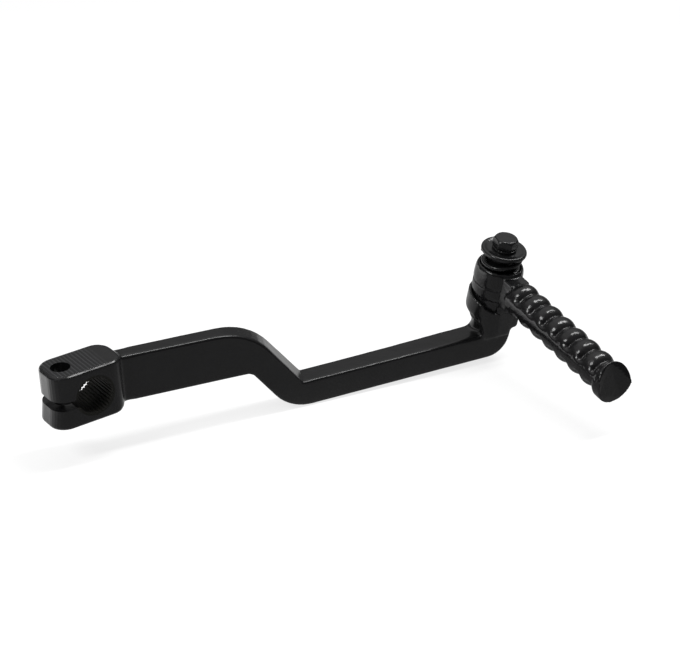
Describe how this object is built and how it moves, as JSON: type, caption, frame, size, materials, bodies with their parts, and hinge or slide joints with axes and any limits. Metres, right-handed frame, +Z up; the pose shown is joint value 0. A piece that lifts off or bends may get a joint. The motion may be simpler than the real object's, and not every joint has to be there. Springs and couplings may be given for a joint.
{
  "type": "kick start lever",
  "caption": "Cranked kick start lever: a split serrated clamp, a stepped flat arm and a ribbed pedal that folds on a sprung, slightly leaning pin.",
  "frame": {"origin": "middle of the serrated bore, on its axis", "axes": "+X from the shaft to the pedal's pin, +Y along the shaft towards the engine, +Z up"},
  "size_m": [0.2509, 0.1055, 0.0661],
  "materials": {
    "gloss_black": "gloss black paint on forged steel",
    "black_steel": "semi-gloss black coating on steel"
  },
  "bodies": {
    "arm": {"arm": "gloss_black", "pivot_pin": "black_steel", "spring": "black_steel", "cup_washer": "black_steel", "spring_washer": "black_steel", "pivot_bolt": "black_steel"},
    "lifter": {"spring_seat": "black_steel"},
    "pedal": {"pedal": "gloss_black"}
  },
  "joints": [
    {"name": "pedal_lift", "type": "slide", "parent": "arm", "child": "lifter", "axis": [-0.0359, -0.1959, 0.98], "range_m": [0, 0.00481], "deforming": ["spring"]},
    {"name": "pedal_fold", "type": "hinge", "parent": "lifter", "child": "pedal", "pos_m": [0.2196, 0, 0], "axis": [0.0359, 0.1959, -0.98], "range_deg": [0, 90]}
  ],
  "couplings": [
    {"joint": "pedal_lift", "follows": "pedal_fold", "m_per_rad": 0.0030558}
  ]
}
